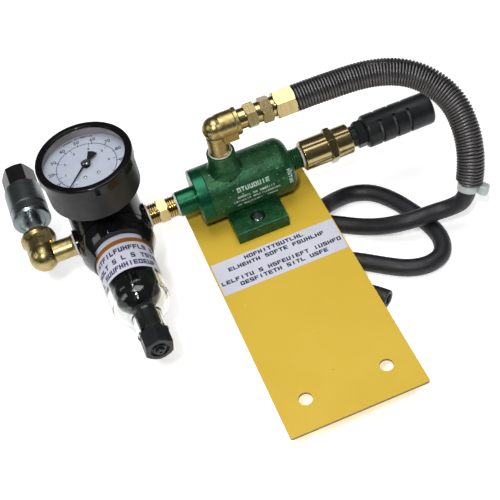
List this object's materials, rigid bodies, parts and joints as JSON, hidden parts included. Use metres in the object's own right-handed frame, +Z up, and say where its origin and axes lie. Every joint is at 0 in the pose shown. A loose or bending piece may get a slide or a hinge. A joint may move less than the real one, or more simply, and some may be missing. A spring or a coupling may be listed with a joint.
{
  "type": "suction pump",
  "caption": "Air-driven suction pump on a flat mounting plate, with filter-regulator, pressure gauge, quick coupler, silencer and spring-guarded suction hose.",
  "frame": {"origin": "midway between the plate's two bolt holes, on the plate's underside", "axes": "+X along the pump towards its exhaust, +Y from the two holes towards the pump, +Z up off the plate"},
  "size_m": [0.2839, 0.2512, 0.113],
  "materials": {
    "yellow_powder_coat": "smooth yellow powder coat on steel",
    "white_label": "printed white vinyl, print greeked to plain bars",
    "green_casting": "green anodised casting, sand-cast grain",
    "green_turned": "green anodised, smooth turned",
    "brass": "bright forged and turned brass",
    "zinc_steel": "zinc-plated steel",
    "black_steel": "blackened hexagon steel",
    "spring_steel": "dark drawn spring wire",
    "ball_steel": "polished balls",
    "black_body": "semi-gloss black enamel on die-cast zinc",
    "black_plastic": "black moulded plastic, slight grain",
    "clear_bowl": "clear polycarbonate",
    "porous": "sintered porous plastic",
    "rubber": "matte black rubber, faint cloth marks",
    "seal_rubber": "black nitrile",
    "tape": "white sealing tape wound in the threads",
    "nylon": "translucent natural nylon",
    "gauge_black": "black enamelled steel",
    "gauge_glass": "clear lens",
    "dial_white": "white printed dial with plain numbers",
    "rim_grey": "matt spacer ring",
    "pointer_black": "matt black aluminium",
    "bronze": "phosphor bronze"
  },
  "bodies": {
    "root": {"body_seal": "seal_rubber", "bonnet": "black_plastic", "bourdon_tube": "bronze", "bowl": "clear_bowl", "bowl_collar": "black_plastic", "bowl_label": "white_label", "bowl_o_ring": "seal_rubber", "cable_tie": "nylon", "control_spring": "spring_steel", "diaphragm": "seal_rubber", "diaphragm_plates": "zinc_steel", "drain_body": "black_plastic", "drain_spring": "spring_steel", "exhaust_coupling": "brass", "filter_deflector": "black_plastic", "filter_element": "porous", "filter_retainer": "black_plastic", "foot_nut": "zinc_steel", "foot_screws": "zinc_steel", "gauge_bezel": "gauge_black", "gauge_case": "gauge_black", "gauge_dial": "dial_white", "gauge_lens": "gauge_glass", "gauge_movement": "brass", "gauge_rim": "rim_grey", "gauge_stem": "brass", "hose_adapter": "brass", "hose_ferrule": "brass", "inlet_elbow": "brass", "mounting_plate": "yellow_powder_coat", "muffler_body": "black_plastic", "muffler_element": "porous", "muffler_end_cap": "black_plastic", "nozzle": "brass", "plate_label": "white_label", "plug_nipple": "zinc_steel", "port_plug": "zinc_steel", "pump_body": "green_casting", "pump_end_cap": "green_turned", "regulator_body": "black_body", "spring_guard": "spring_steel", "suction_hose": "rubber", "supply_nipple": "brass", "thread_tape": "tape", "vacuum_elbow": "brass", "valve_cage": "brass", "valve_spring": "spring_steel"},
    "knob": {"adjusting_knob": "black_plastic", "adjusting_screw": "zinc_steel"},
    "spring_nut": {"spring_seat": "zinc_steel"},
    "valve": {"valve_poppet": "brass"},
    "drain_valve": {"drain_stem": "black_plastic"},
    "pointer": {"gauge_pointer": "pointer_black", "pointer_shaft": "zinc_steel"},
    "coupler": {"coupler_body": "zinc_steel", "locking_balls": "ball_steel", "coupler_inlet": "black_steel", "coupler_seal": "seal_rubber", "coupler_spring": "spring_steel"},
    "sleeve": {"coupler_sleeve": "zinc_steel"}
  },
  "joints": [
    {"name": "knob_turn", "type": "hinge", "parent": "root", "child": "knob", "pos_m": [-0.0881, 0.1528, 0.022], "axis": [0, -1, 0], "range_deg": [0, 1080]},
    {"name": "spring_nut_slide", "type": "slide", "parent": "root", "child": "spring_nut", "axis": [0, -1, 0], "range_m": [0, 0.0047], "deforming": ["control_spring"]},
    {"name": "valve_slide", "type": "slide", "parent": "root", "child": "valve", "axis": [0, -1, 0], "range_m": [0, 0.0012], "stiffness_N_per_m": 300, "springref_m": -0.002, "deforming": ["valve_spring"]},
    {"name": "drain_push", "type": "slide", "parent": "root", "child": "drain_valve", "axis": [0, 1, 0], "range_m": [0, 0.002], "stiffness_N_per_m": 300, "springref_m": -0.002, "deforming": ["drain_spring"]},
    {"name": "pointer_turn", "type": "hinge", "parent": "root", "child": "pointer", "pos_m": [-0.0881, 0.1528, 0.079], "axis": [0, 0, -1], "range_deg": [0, 270], "stiffness_Nm_per_rad": 0.0005},
    {"name": "coupler_swivel", "type": "hinge", "parent": "root", "child": "coupler", "pos_m": [-0.1326, 0.2138, 0.022], "axis": [0, 1, 0], "continuous": true},
    {"name": "sleeve_slide", "type": "slide", "parent": "coupler", "child": "sleeve", "axis": [0, 1, 0], "range_m": [0, 0.005], "stiffness_N_per_m": 500, "springref_m": -0.003, "deforming": ["coupler_spring"]}
  ],
  "couplings": [
    {"joint": "spring_nut_slide", "follows": "knob_turn", "m_per_rad": 0.00023873}
  ]
}
